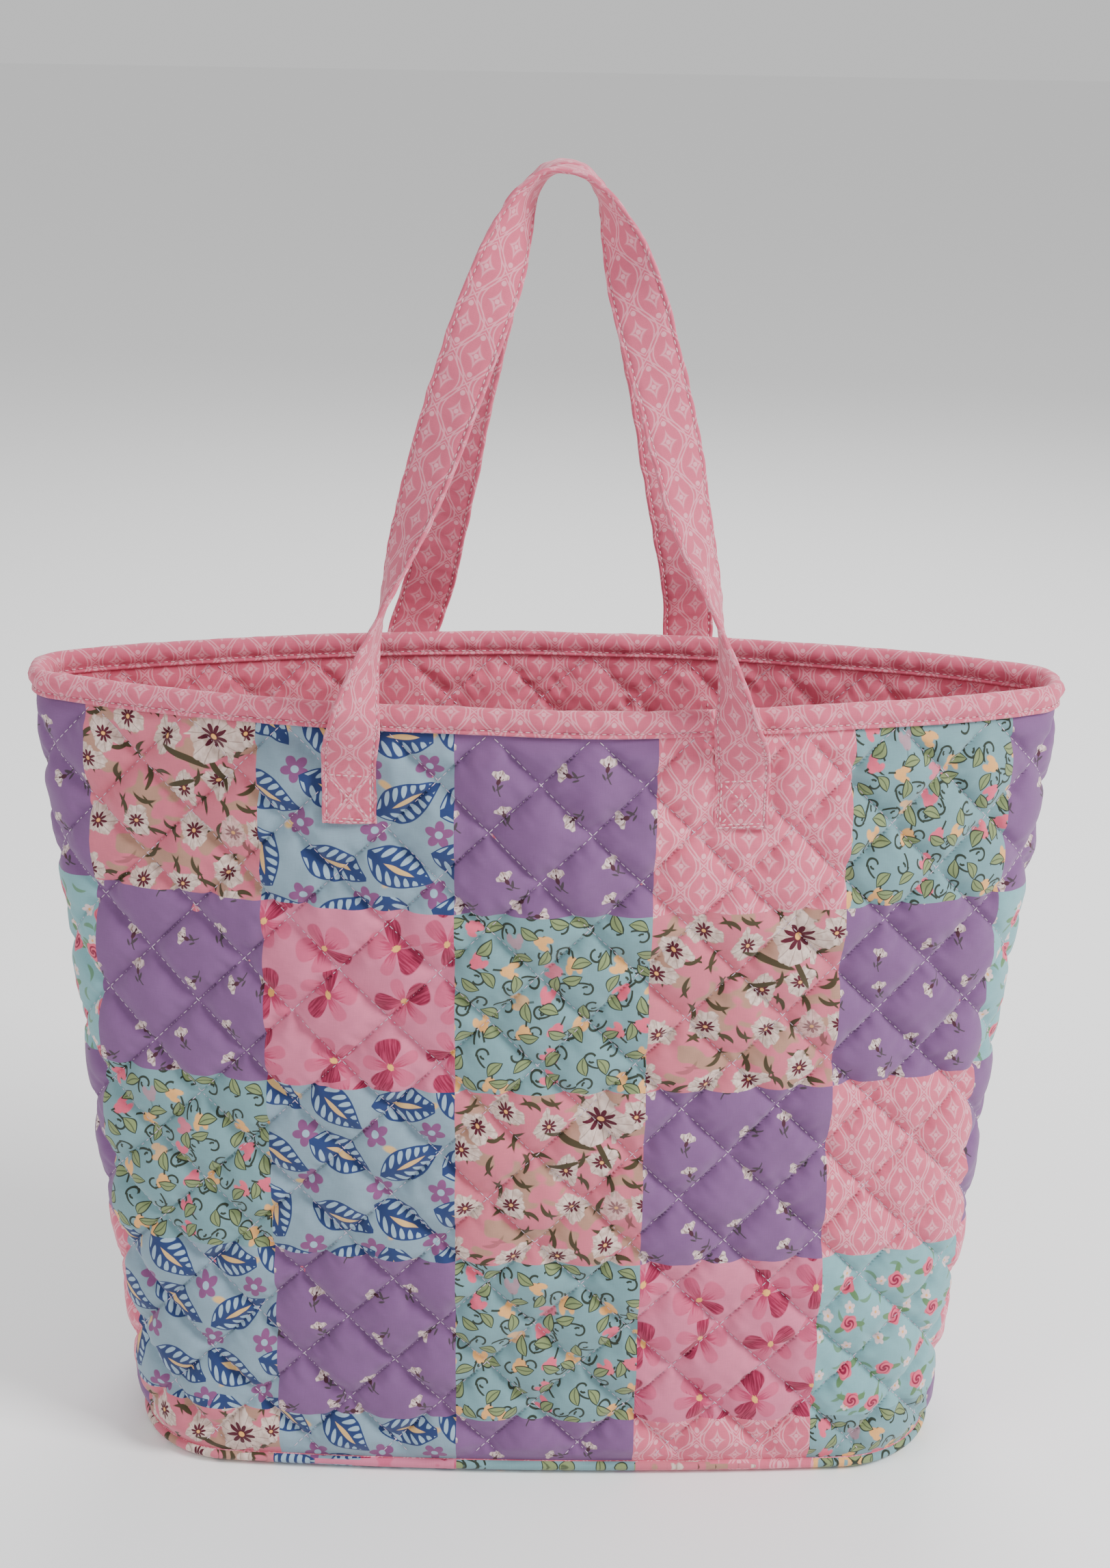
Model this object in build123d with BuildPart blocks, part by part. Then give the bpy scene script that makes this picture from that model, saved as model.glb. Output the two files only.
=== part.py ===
from build123d import *
import os
from math import atan2, cos, degrees, pi, sin, sqrt

# A quilted patchwork tote bag with two sewn handles. All sizes are in millimetres.
# The origin is under the middle of the base. +Z is up, and the front panel faces -Y.

# Driving dimensions of the bag's body.
rim_height = 450.0
mouth_half_width = 270.0
mouth_half_depth = 70.0
mouth_corner_radius = 20.0
mouth_side_flat = 3.0       # half of the flat at each end of the mouth, where the side seam is
base_half_width = 230.0
base_half_depth = 84.0
base_corner_radius = 60.0
base_side_flat = 18.0
base_seam_height = 8.0      # the seam between the base panel and the walls
base_edge_roll = 6.0        # how far the base panel rolls in under that seam

# The three layers of quilted cloth.
outer_thickness = 0.6
batting_thickness = 3.4
lining_thickness = 0.6
wall_thickness = outer_thickness + batting_thickness + lining_thickness

# The binding folded over the rim.
binding_height = 12.0
binding_thickness = 1.2

# The tapes that cover the raw seams inside.
tape_thickness = 0.8
side_tape_width = 18.0
base_tape_height = 12.0

# The two handles.
strap_width = 28.0
strap_thickness = 3.0
sleeve_cloth = 0.6
box_bottom = rim_height - 62.0
box_top = rim_height - 33.0
handle_top = 708.0
handle_gap = 3.0            # between the two handles, where they meet at the top
fold_gap = 0.5              # between the sewn end and the free strap, at the fold
strap_standoff = 0.6        # between the free strap and the binding
hinge_standoff = 2.0        # the fold line, in front of the strap's outer face

# The box-and-cross stitching on each sewn end.
stitch_inset = 2.5
stitch_width = 0.9
stitch_height = 0.4

# The back handle's ends are sewn on a little nearer together than the front handle's.
strap_half_spacing = {"front": 99.0, "back": 80.0}

# The right leg of each handle, above the fold and up to the top: distance from the middle, and height.
leg_routes = {
    "front": (
        (98.0, 434.0),
        (94.5, 455.0),
        (84.0, 492.0),
        (69.5, 538.0),
        (53.0, 593.0),
        (33.0, 655.0),
        (24.0, 678.0),
        (14.0, 700.0),
    ),
    "back": (
        (79.0, 434.0),
        (76.0, 455.0),
        (68.0, 492.0),
        (58.5, 538.0),
        (46.5, 593.0),
        (30.5, 655.0),
        (23.0, 678.0),
        (13.8, 700.0),
    ),
}
leg_stations = 14           # cross sections along each leg, closer together near the top
station_crowding = 1.5
turn_start = 0.45           # where along a leg the strap starts to turn edge-on, and where it is done
turn_end = 0.9

wall_top = rim_height - binding_thickness
binding_bottom = rim_height - binding_height
tape_top = base_seam_height + base_tape_height
wall_levels = (base_seam_height, tape_top, box_bottom, box_top, binding_bottom, wall_top)
sides = (("front", -1), ("back", 1))
hands = (("left", -1), ("right", 1))
pieces = {}


def blended(low, high, share):
    return low + (high - low) * share


def oval(height):
    """The wall's outer outline: half width, half depth, corner radius and half side flat."""
    share = (height - base_seam_height) / (rim_height - base_seam_height)
    return (
        blended(base_half_width, mouth_half_width, share),
        blended(base_half_depth, mouth_half_depth, share),
        blended(base_corner_radius, mouth_corner_radius, share),
        blended(base_side_flat, mouth_side_flat, share),
    )


def long_radius(half_width, half_depth, corner, flat):
    """The radius of the long arc that runs into both corner arcs of an oval."""
    rise = half_depth - flat
    return ((half_width - corner) ** 2 + rise ** 2 - corner ** 2) / (2 * (rise - corner))


def half_outline(height, inset, side, extra_inset=0.0):
    """Half of the oval, from right to left: side flat, corner, long arc, corner, side flat.

    The flats and corners are where one panel turns to meet the other. extra_inset draws
    the whole oval in without changing which level it belongs to.
    """
    half_width, half_depth, corner, flat = oval(height)
    radius = long_radius(half_width, half_depth, corner, flat)
    inward = inset + extra_inset
    corner_x = half_width - corner
    meet = atan2(radius - half_depth + flat, corner_x)
    edge = half_width - inward
    small = corner - inward
    meet_x = corner_x + small * cos(meet)
    meet_y = side * (flat + small * sin(meet))
    mid_x = corner_x + small * cos(meet / 2)
    mid_y = side * (flat + small * sin(meet / 2))
    flat_y = side * flat
    crown_y = side * (half_depth - inward)
    Line((edge, 0), (edge, flat_y))
    ThreePointArc((edge, flat_y), (mid_x, mid_y), (meet_x, meet_y))
    ThreePointArc((meet_x, meet_y), (0, crown_y), (-meet_x, meet_y))
    ThreePointArc((-meet_x, meet_y), (-mid_x, mid_y), (-edge, flat_y))
    Line((-edge, flat_y), (-edge, 0))
    return edge


def band_section(height, outside, inside, side):
    """Half of the ring between two insets, at a height."""
    with BuildSketch(Plane.XY.offset(height)) as section:
        with BuildLine():
            outer_edge = half_outline(height, outside, side)
            inner_edge = half_outline(height, inside, side)
            Line((outer_edge, 0), (inner_edge, 0))
            Line((-outer_edge, 0), (-inner_edge, 0))
        make_face()
    return section.sketch


def band(levels, outside, inside, side):
    """Half of a standing ring of cloth between two insets, through the levels."""
    with BuildPart() as ring:
        for height in levels:
            add(band_section(height, outside, inside, side))
        loft(ruled=True)
    return ring.part


def dish(inset):
    """The shallow form under the base seam, drawn in by the inset at its sides and bottom."""
    with BuildPart() as form:
        for height, extra in ((inset, base_edge_roll), (base_seam_height, 0.0)):
            with BuildSketch(Plane.XY.offset(height)):
                with BuildLine():
                    half_outline(base_seam_height, inset, 1, extra)
                    half_outline(base_seam_height, inset, -1, extra)
                make_face()
        loft(ruled=True)
    return form.part


def wall_y(x, height):
    """How far the wall's outer surface stands from the middle plane, on its long arc."""
    half_width, half_depth, corner, flat = oval(height)
    radius = long_radius(half_width, half_depth, corner, flat)
    return sqrt(radius ** 2 - x ** 2) - (radius - half_depth)


# The front, back and base panels, each of printed cotton, batting and lining.
# Front and back meet at the side seams, in the middle of each narrow side.
layer_insets = {
    "outer": (0.0, outer_thickness),
    "batting": (outer_thickness, outer_thickness + batting_thickness),
    "lining": (outer_thickness + batting_thickness, wall_thickness),
}
for layer, (outside, inside) in layer_insets.items():
    for side, sign in sides:
        with BuildPart() as panel:
            add(band(wall_levels, outside, inside, sign))
        pieces[f"{layer}_{side}"] = panel
    with BuildPart() as panel:
        add(dish(outside))
        add(dish(inside), mode=Mode.SUBTRACT)
    pieces[f"{layer}_base"] = panel

# The binding, folded over the rim from outside to inside.
with BuildPart() as rim_binding:
    for side, sign in sides:
        add(band((binding_bottom, wall_top), -binding_thickness, 0.0, sign))
        add(band((binding_bottom, wall_top), wall_thickness, wall_thickness + binding_thickness, sign))
        add(band((wall_top, rim_height), -binding_thickness, wall_thickness + binding_thickness, sign))
pieces["rim_binding"] = rim_binding

# Tapes over the raw seams inside: one up each side seam, and one round the base seam.
for hand, right in hands:
    with BuildPart() as side_tape:
        for side, sign in sides:
            add(band(wall_levels[1:-1], wall_thickness, wall_thickness + tape_thickness, sign))
        with Locations((right * mouth_half_width, 0, tape_top)):
            Box(mouth_half_width, side_tape_width, binding_bottom - tape_top,
                align=(Align.CENTER, Align.CENTER, Align.MIN), mode=Mode.INTERSECT)
    pieces[f"side_seam_tape_{hand}"] = side_tape
with BuildPart() as base_tape:
    for side, sign in sides:
        add(band(wall_levels[:2], wall_thickness, wall_thickness + tape_thickness, sign))
pieces["base_seam_tape"] = base_tape

# The four sewn strap ends, lying on the panels, each with its box and cross of thread.
box_height = box_top - box_bottom
thread_width = strap_width - 2 * stitch_inset
thread_height = box_height - 2 * stitch_inset
cross_angle = degrees(atan2(thread_height, thread_width))
cross_length = sqrt(thread_width ** 2 + thread_height ** 2) - 2 * stitch_width
for side, front in sides:
    for hand, right in hands:
        middle = (right * strap_half_spacing[side], 0, (box_top + box_bottom) / 2)
        with BuildPart() as strap_end:
            add(band((box_bottom, box_top), -strap_thickness, 0.0, front))
            with Locations(middle):
                Box(strap_width, 2 * base_half_depth + 2 * strap_thickness, box_height,
                    mode=Mode.INTERSECT)
        pieces[f"strap_end_{side}_{hand}"] = strap_end

        with BuildPart(mode=Mode.PRIVATE) as thread_lines:
            with BuildSketch(Plane(origin=middle, x_dir=(1, 0, 0), z_dir=(0, front, 0))):
                Rectangle(thread_width, thread_height)
                Rectangle(thread_width - 2 * stitch_width, thread_height - 2 * stitch_width,
                          mode=Mode.SUBTRACT)
                for angle in (cross_angle, -cross_angle):
                    Rectangle(cross_length, stitch_width, rotation=angle)
            extrude(amount=2 * base_half_depth)
        with BuildPart() as box_stitching:
            add(band((box_bottom, box_top), -strap_thickness - stitch_height, -strap_thickness, front))
            add(thread_lines.part, mode=Mode.INTERSECT)
        pieces[f"box_stitching_{side}_{hand}"] = box_stitching

# The two handles. Each is a sewn sleeve over a stiffening core, in one loop. It is flat
# against the panel at its ends, and turned edge-on at the top, flat over a bar or a hand.
top_y = (handle_gap + strap_width) / 2
lean_start = rim_height + 4.0


def rim_y(side):
    """How far out a handle's middle line passes the rim, clear of the binding."""
    nearer_edge = strap_half_spacing[side] - strap_width / 2
    return wall_y(nearer_edge, rim_height) + binding_thickness + strap_standoff + strap_thickness / 2


def lean_y(side, height):
    """How far the handle's middle line stands out from the middle plane."""
    share = max(0.0, (height - lean_start) / (handle_top - lean_start))
    return blended(rim_y(side), top_y, share)


def handle_path(side, front):
    route = ((strap_half_spacing[side], box_top + fold_gap),) + leg_routes[side]
    right = [Vector(x, front * lean_y(side, z), z) for x, z in route]
    top = [Vector(0, front * top_y, handle_top - strap_thickness / 2)]
    left = [Vector(-x, front * lean_y(side, z), z) for x, z in reversed(route)]
    with BuildLine(mode=Mode.PRIVATE) as path:
        Spline(*right, *top, *left, tangents=((0, 0, 1), (0, 0, -1)))
    return path.line


def turn_angle(side, share):
    """The strap's turn about its own line, in radians, at a share from 0 to 1 along one leg."""
    panel_turn = -atan2(strap_half_spacing[side], long_radius(*oval(box_top)))
    step = min(1.0, max(0.0, (share - turn_start) / (turn_end - turn_start)))
    return blended(panel_turn, pi / 2, step * step * (3 - 2 * step))


def strap_plane(path, side, front, place):
    """The plane of the strap's cross section at a place from 0 to 1 along the whole handle."""
    turn = turn_angle(side, 1 - abs(1 - 2 * place))
    hand = 1 if place <= 0.5 else -1
    tangent = path % place
    across = Vector(hand * cos(turn), front * sin(turn), 0)
    across = (across - tangent * across.dot(tangent)).normalized()
    return Plane(origin=path @ place, x_dir=across, z_dir=tangent)


def handle_solid(side, front, width, thickness):
    path = handle_path(side, front)
    half = [0.5 - 0.5 * (1 - step / leg_stations) ** station_crowding for step in range(leg_stations + 1)]
    places = half + [1 - place for place in reversed(half[:-1])]
    with BuildPart() as strap:
        for ends in zip(places, places[1:]):
            for place in ends:
                with BuildSketch(strap_plane(path, side, front, place)):
                    Rectangle(width, thickness)
            loft(ruled=True)
    return strap.part


for side, front in sides:
    core_solid = handle_solid(side, front, strap_width - 2 * sleeve_cloth, strap_thickness - 2 * sleeve_cloth)
    with BuildPart() as handle_sleeve:
        add(handle_solid(side, front, strap_width, strap_thickness))
        add(core_solid, mode=Mode.SUBTRACT)
    pieces[f"handle_sleeve_{side}"] = handle_sleeve
    with BuildPart() as handle_core:
        add(core_solid)
    pieces[f"handle_core_{side}"] = handle_core

os.makedirs("parts", exist_ok=True)
for name, piece in pieces.items():
    piece.part.label = name
    export_step(piece.part, f"parts/{name}.step")

for side, front in sides:
    hinge_y = rim_y(side) + strap_thickness / 2 + hinge_standoff
    print("handle", side, "hinge: y", round(front * hinge_y, 3), "z", round(box_top + fold_gap / 2, 3))
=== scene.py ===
import math

import bpy
import numpy as np
from mathutils import Matrix, Vector


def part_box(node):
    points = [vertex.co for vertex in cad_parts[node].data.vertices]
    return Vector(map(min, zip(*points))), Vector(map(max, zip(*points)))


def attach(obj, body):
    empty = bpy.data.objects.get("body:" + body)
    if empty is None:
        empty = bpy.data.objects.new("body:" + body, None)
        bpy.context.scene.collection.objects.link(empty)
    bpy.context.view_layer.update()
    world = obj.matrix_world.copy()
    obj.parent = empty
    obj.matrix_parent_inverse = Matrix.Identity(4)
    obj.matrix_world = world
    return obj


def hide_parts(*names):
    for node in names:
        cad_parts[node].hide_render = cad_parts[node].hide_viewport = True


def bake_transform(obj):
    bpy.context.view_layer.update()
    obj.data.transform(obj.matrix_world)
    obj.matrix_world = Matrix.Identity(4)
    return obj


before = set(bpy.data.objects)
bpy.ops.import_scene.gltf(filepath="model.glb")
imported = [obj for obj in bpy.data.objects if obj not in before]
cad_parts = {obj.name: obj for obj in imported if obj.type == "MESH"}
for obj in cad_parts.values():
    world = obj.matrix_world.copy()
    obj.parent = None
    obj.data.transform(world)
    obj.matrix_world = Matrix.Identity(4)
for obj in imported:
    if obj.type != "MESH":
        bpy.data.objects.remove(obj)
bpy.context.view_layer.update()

# Sizes in metres. The front faces -Y: side is -1 there and 1 at the back. A place on a wall's cloth is s
# across from its middle and h down from the rim, or u and z, where u is -1 at the left seam, 1 at the right.
SIDES = (("front", -1), ("back", 1))
RIM_Z = 0.450
SEAM_Z = 0.008  # the base seam
WALL = 0.0046  # thickness of the quilt where it is flat
HALF_WIDTH = 0.289  # of a wall's cloth, from its middle to a side seam
PATCH = 0.1016
PATCH_STEPS = 70
STEP = PATCH / PATCH_STEPS  # between the points of a wall's mesh
RIGHT_STEPS, LEFT_STEPS = 60, 65  # in a patch's width in the front's two end columns
PERIOD = 36 * STEP  # between quilting crossings, across and down
SEAM_S = -0.0458  # where the middle column of patches starts
SEAM_H = 74 * STEP  # where the second row starts
CROSS_S = SEAM_S + 30 * STEP  # one crossing of the quilting
CROSS_H = 62 * STEP
BINDING_LOW, BINDING_STITCH = 0.4378, 0.4403  # heights of the binding's lower edge and its stitching
STRAP_X = {-1: 0.099, 1: 0.080}  # how far out the strap ends are
STRAP_HALF = 0.014  # half a strap's width
STRAP_STITCH = 0.0023  # from its edge to its topstitching
STRAP_LIFT = 0.0017  # from the wall's cloth to the middle of a sewn end
END_LOW, END_TOP = 0.3885, 0.417  # heights of a sewn strap end
END_MIDDLE, END_REACH = 0.4025, 0.0145  # the cloth it presses flat: middle height and half height

MM = 1000.0  # in a metre
PETAL_ANGLE = 2 * math.pi / 5
# The cottons' threads, in mm: how long and wide their uneven places are, and the weave's pitch.
SLUB, FIBRE, WEAVE = 6.0, 0.45, 0.55


# ---- values and colours in a material's node tree

class Num:
    """A number in a node tree, with arithmetic."""

    tree = None

    def __init__(self, socket):
        self.socket = socket

    def __add__(self, other):
        return calc("ADD", self, other)

    __radd__ = __add__

    def __sub__(self, other):
        return calc("SUBTRACT", self, other)

    def __rsub__(self, other):
        return calc("SUBTRACT", other, self)

    def __mul__(self, other):
        return calc("MULTIPLY", self, other)

    __rmul__ = __mul__

    def __truediv__(self, other):
        return calc("DIVIDE", self, other)

    def __abs__(self):
        return calc("ABSOLUTE", self)


def feed(node, inputs):
    """Links or sets a node's inputs, given by name or number."""
    for key, value in inputs.items():
        if isinstance(value, Num):
            value = value.socket
        if isinstance(value, bpy.types.NodeSocket):
            Num.tree.links.new(value, node.inputs[key])
        else:
            node.inputs[key].default_value = value
    return node


def new_node(kind, inputs, **settings):
    node = Num.tree.nodes.new(kind)
    for name, value in settings.items():
        setattr(node, name, value)
    return feed(node, inputs)


def calc(operation, *values):
    return Num(new_node("ShaderNodeMath", dict(enumerate(values)), operation=operation).outputs[0])


def sin(value):
    return calc("SINE", value)


def cos(value):
    return calc("COSINE", value)


def least(a, b):
    return calc("MINIMUM", a, b)


def most(a, b):
    return calc("MAXIMUM", a, b)


def wrap(value, top):
    return calc("WRAP", value, top, 0.0)


def length(a, b):
    return calc("SQRT", a * a + b * b)


def turned(a, b, angle):
    c, s = cos(angle), sin(angle)
    return a * c + b * s, b * c - a * s


def inside(depth, soft=0.2):
    """1 where depth is positive, 0 where negative, with an edge this soft."""
    edge = {"Value": depth, "From Min": -soft, "From Max": soft}
    return Num(new_node("ShaderNodeMapRange", edge, interpolation_type="SMOOTHSTEP").outputs["Result"])


def oval(a, b, half_a, half_b):
    """How deep a point is inside an oval, about in the oval's own units."""
    return (1 - length(a / half_a, b / half_b)) * min(half_a, half_b)


def pair(a, b):
    """A vector made of two numbers."""
    return new_node("ShaderNodeCombineXYZ", {0: a, 1: b}).outputs[0]


def parts(vector):
    """The three numbers of a vector."""
    return [Num(output) for output in new_node("ShaderNodeSeparateXYZ", {0: vector}).outputs]


def mixed(low, high, share):
    return new_node("ShaderNodeMix", {0: share, 6: low, 7: high}, data_type="RGBA").outputs[2]


def paint(under, tone, depth, soft=0.2):
    """A colour laid over another where depth is positive."""
    return mixed(under, tone, inside(depth, soft))


def grain(a, b, scale_a, scale_b, detail=2.0):
    """Noise from 0 to 1, with its own size along each way, in the coordinate's units."""
    noise = {"Vector": pair(a / scale_a, b / scale_b), "Scale": 1.0, "Detail": detail}
    return Num(new_node("ShaderNodeTexNoise", noise, noise_dimensions="2D").outputs["Fac"])


def scatter(x, y, spacing, jitter, shift=(0.0, 0.0), spread=6.28, lean=0.0):
    """The nearest motif of a scattered kind: its own coordinates, in mm, and two random numbers. Motifs are
    turned at random within spread, in radians, about lean."""
    x, y = x + shift[0], y + shift[1]
    cells = {"Vector": pair(x, y), "Scale": 1 / spacing, "Randomness": jitter}
    node = new_node("ShaderNodeTexVoronoi", cells, voronoi_dimensions="2D")
    middle_x, middle_y, _ = parts(node.outputs["Position"])
    angle, pick, other = parts(node.outputs["Color"])
    a, b = turned(x - middle_x, y - middle_y, (angle - 0.5) * spread + lean)
    return a, b, pick, other


def five_petals(a, b):
    """For five petals round a point: the nearest petal's number, and the place along and across it."""
    number = calc("ROUND", calc("ARCTAN2", b, a) / PETAL_ANGLE)
    return number, *turned(a, b, number * PETAL_ANGLE)


# ---- colours

def colour(red, green, blue):
    """A colour given as 0 to 255 on screen, in linear light."""
    c = [v / 255 for v in (red, green, blue)]
    return tuple(v / 12.92 if v <= 0.04045 else ((v + 0.055) / 1.055) ** 2.4 for v in c) + (1.0,)


LILAC = colour(116, 80, 124)
STEM = colour(70, 58, 66)
PLUM = colour(70, 36, 48)
CREAM = colour(212, 190, 190)
IVORY = colour(212, 192, 182)
SHELL = colour(184, 160, 150)
SHADE = colour(140, 116, 108)
ROSE = colour(200, 110, 138)
PETAL = colour(194, 88, 120)
DEEP_PETAL = colour(174, 58, 94)
WINE = colour(126, 22, 56)
EYE = colour(230, 170, 96)
CORAL = colour(196, 102, 120)
TAN = colour(156, 130, 104)
OLIVE = colour(66, 56, 36)
BURGUNDY = colour(80, 20, 38)
SKY = colour(126, 148, 162)
NAVY = colour(36, 54, 100)
DROP = colour(144, 168, 186)
MAUVE = colour(122, 70, 114)
STRAW = colour(206, 168, 112)
TEAL = colour(112, 146, 152)
INK = colour(44, 52, 42)
LIME = colour(124, 138, 94)
CORAL_BUD = colour(214, 92, 116)
APRICOT = colour(222, 164, 100)
AQUA = colour(120, 162, 168)
FERN = colour(88, 124, 84)
PINK = colour(206, 98, 122)
PALE_PINK = colour(232, 170, 182)
# a deeper pink laid over the strap and binding print, and the painted shade in their stitched grooves
DEEP_PINK_AND_GROOVE_SHADE = colour(150, 58, 82)


# ---- the printed cottons: each takes a place on the cloth, in mm, and gives a colour there. Bare numbers in
# them are a motif's own measures, in mm, and shares.

def lilac_print(x, y):
    """Small pale fans on dark stems, scattered on lilac."""
    a, b, pick, _ = scatter(x, y, 26.5, 0.66, (11.0, 7.0), spread=4.4)
    a, b = a * 1.2, b * 1.2 + 1.5
    r = length(a, b)
    angle = calc("ARCTAN2", a, b)
    lobes = 6.5 + 0.45 * cos(angle * 8.0 + pick)
    fan = least(lobes - r, (1.08 - abs(angle)) * 4.5)
    marks = least(3.4 - r, least(cos(angle * 6.5) - 0.2, 0.9 - abs(angle)) * 2.0)
    calyx = oval(a, b + 0.2, 1.3, 2.0)
    stem = least(0.5 - abs(a - 0.055 * b * b), least(b + 8.6, 0 - b))
    leaf = oval(a - 1.9 - (b + 3.4) * 0.5, b + 3.4, 1.0, 2.4)
    bract = oval(a + 1.2 + (b + 5.0) * 0.7, b + 5.0, 0.8, 1.8)
    fold = grain(a, b, 1.3, 4.0)
    result = paint(LILAC, STEM, most(most(stem, leaf), bract))
    cream = paint(SHADE, CREAM, fold - 0.42, 0.2)
    result = paint(result, cream, fan)
    return paint(result, PLUM, most(marks, calyx))


def pink_flower_print(x, y):
    """Five-petalled flowers, two or three petals dark and the rest pale, on pink."""
    a, b, pick, other = scatter(x, y, 32.0, 0.5, (5.0, 19.0))
    number, along, across = five_petals(a, b)
    wide = 1.0 + 0.35 * cos(number * 2.3 + pick * 6.0)
    taper = 1.9 - along / 13.5
    petal = oval(along - 8.0, across * taper * wide, 7.2, 5.4)
    dark = inside(cos(number * 2.51 + other * 6.28) - 0.4, 0.2)
    streak = grain(along, across, 9.0, 0.9)
    heart = inside(0.42 - along / 14.0 + (streak - 0.5) * 1.1, 0.16)
    pale = mixed(PETAL, DEEP_PETAL, heart)
    deep = paint(DEEP_PETAL, WINE, streak - 0.42, 0.25)
    result = paint(ROSE, mixed(pale, deep, dark), petal, 0.35)
    eye = oval(a, b, 1.5, 2.2) + (grain(a, b, 1.0, 1.0) - 0.5) * 1.2
    return paint(result, EYE, eye)


def daisy(result, a, b, size, petals, phase, share=1.0):
    """One cream flower painted over a colour: petals, the lines in them, starry dark centre and eye."""
    r = length(a, b) / size
    angle = calc("ARCTAN2", b, a)
    ragged = grain(a, b, size * 0.35, size * 0.35)
    edge = (0.74 + 0.15 * cos(angle * petals + phase) + (ragged - 0.5) * 0.42 - r) * size
    lines = (0.16 - abs(sin(angle * petals * 2.0 + phase))) * inside(r - 0.25, 0.05)
    spikes = (0.14 + 0.26 * abs(cos(angle * 4.5 + phase)) * (0.5 + ragged) - r) * size
    eye = (0.09 - r) * size
    cream = paint(IVORY, SHELL, grain(a, b, size * 0.2, size * 0.3) - 0.5, 0.2)
    result = mixed(result, cream, inside(edge, 0.5) * share)
    result = mixed(result, SHADE, inside(lines, 0.12) * inside(edge, 0.5) * share * 0.7)
    result = mixed(result, BURGUNDY, inside(spikes, 0.3) * share)
    return mixed(result, EYE, inside(eye, 0.3) * share)


def cream_daisy_print(x, y):
    """Cream daisies with dark starry centres, olive leaves and soft tan shadows, on pink."""
    soft = grain(x, y, 15.0, 12.0, 1.0)
    result = mixed(CORAL, TAN, inside(soft - 0.57, 0.035) * 0.8)
    a, b, pick, _ = scatter(x, y, 15.0, 0.8, (15.0, 3.0))
    blade = oval(a, b - 0.06 * a * a, 6.5, 1.25)
    spray = oval(a - 2.6, b - 2.2 + a * 0.6, 3.6, 0.8)
    result = mixed(result, OLIVE, inside(most(blade, spray)) * inside(pick - 0.12, 0.02))
    a, b, pick, other = scatter(x, y, 25.0, 0.7, (4.0, 22.0))
    result = daisy(result, a, b * 1.2, 12.0, 2.5, pick * 6.0, inside(other - 0.2, 0.02))
    a, b = x - 78.0, y - 86.0
    leaves = oval(a + 16.0, b + 17.0 + a * 0.35, 14.0, 1.9)
    leaves = most(leaves, oval(a + 8.0 + b * 0.5, b + 18.0, 1.7, 11.0))
    leaves = most(leaves, oval(a + 20.0, b + 20.0 - a * 0.3, 9.0, 1.6))
    result = paint(result, OLIVE, leaves)
    return daisy(result, a, b * 1.2, 21.0, 3.5, 0.6)


def blue_leaf_print(x, y):
    """Blue leaves with pale cut-outs, mauve flowers and small tan flecks, on pale grey blue."""
    result = SKY
    a, b, pick, _ = scatter(x, y, 25.4, 0.3, (12.7, 12.7))
    result = mixed(result, STRAW, inside(oval(a, b, 3.8, 2.0), 0.7) * inside(pick - 0.5, 0.02))
    a, b, *_ = scatter(x, y, 33.9, 0.3, (17.0, 29.0))
    _, along, across = five_petals(a, b)
    bloom = most(oval(along - 4.2, across, 3.3, 2.4), 3.2 - length(a, b))
    result = paint(result, MAUVE, bloom)
    result = paint(result, DROP, 2.0 - length(a, b))
    a, b, *_ = scatter(x, y, 33.9, 0.3, (0.0, 12.0), spread=2.2, lean=-0.6)
    t = a / 19.0
    half = 9.2 * (1 - t * t) * (1.10 - 0.40 * t)
    leaf = least(half - abs(b), 19.0 - abs(a))
    row = wrap(a - abs(b) * 0.6 + 40.0, 5.1) - 2.55
    up = (abs(b) - 0.60 * half) / (half * 0.30 + 0.3)
    drop = (1 - length(row / (1.55 + 0.35 * up), up)) * 1.6
    drop = least(drop, least(half - abs(b) - 1.0, abs(b) - 2.0))
    rib = 1.4 * (1 - (a * a) / 70.0) - abs(b)
    result = paint(result, NAVY, leaf)
    result = paint(result, DROP, drop)
    return paint(result, STRAW, rib)


def vine_print(x, y):
    """Outlined leaves, curling tendrils, pink and orange buds, on grey teal."""
    result = TEAL
    a, b, *_ = scatter(x, y, 14.0, 0.55, (3.0, 9.0))
    r = length(a, b)
    coil = 0.6 - abs(r - 2.7 - calc("ARCTAN2", b, a) * 0.35)
    hook = least(coil, most(b + 0.6, 0 - a) * 2.0)
    tail = least(0.6 - abs(a + 3.3 - 0.05 * b * b), least(0.8 - b, b + 7.0))
    result = paint(result, INK, most(hook, tail))
    a, b, pick, other = scatter(x, y, 17.5, 0.6, (9.0, 2.0))
    bell = oval(a, b + 1.2, 2.9, 3.6)
    bud = most(bell, most(oval(a - 2.6, b - 1.8, 1.7, 3.0), oval(a + 2.6, b - 1.8, 1.7, 3.0)))
    hue = paint(CORAL_BUD, APRICOT, other - 0.5, 0.02)
    shown = inside(pick - 0.25, 0.02)
    result = mixed(result, hue, inside(bud, 0.35) * shown)
    stalk = least(0.55 - abs(a + 0.8), least(b + 9.0, -3.8 - b))
    result = mixed(result, INK, inside(stalk) * shown)
    a, b, *_ = scatter(x, y, 15.2, 0.55, (0.0, 0.0))
    leaf = (1 - (a * a) / 25.0) * 2.5 - abs(b + 0.05 * a * a)
    vein = least(0.32 - abs(b + 0.05 * a * a), leaf - 0.5)
    result = paint(result, INK, leaf + 0.7)
    result = paint(result, LIME, leaf)
    return mixed(result, INK, inside(vein) * 0.7)


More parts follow.
